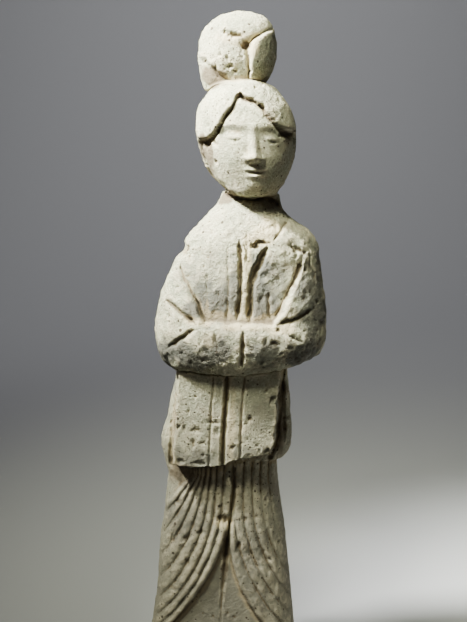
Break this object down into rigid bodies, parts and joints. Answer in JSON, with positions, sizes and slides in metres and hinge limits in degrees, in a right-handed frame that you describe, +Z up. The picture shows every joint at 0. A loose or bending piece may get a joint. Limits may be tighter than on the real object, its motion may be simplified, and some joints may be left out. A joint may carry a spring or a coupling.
{
  "type": "carved brick tomb figure",
  "caption": "Standing attendant figure carved in grey brick, with a tall hair knot, folded sleeves, an apron over a swagged overskirt, and a low base.",
  "frame": {"origin": "middle of the underside of the low base, on the surface that the figure stands on", "axes": "+Z up from the base to the hair knot, -Y the way the face looks, +X to the right as seen by someone who faces the figure"},
  "size_m": [0.097, 0.0692, 0.38],
  "materials": {
    "fired_brick": "matte"
  },
  "bodies": {
    "root": {"tomb_figure": "fired_brick"}
  },
  "joints": []
}
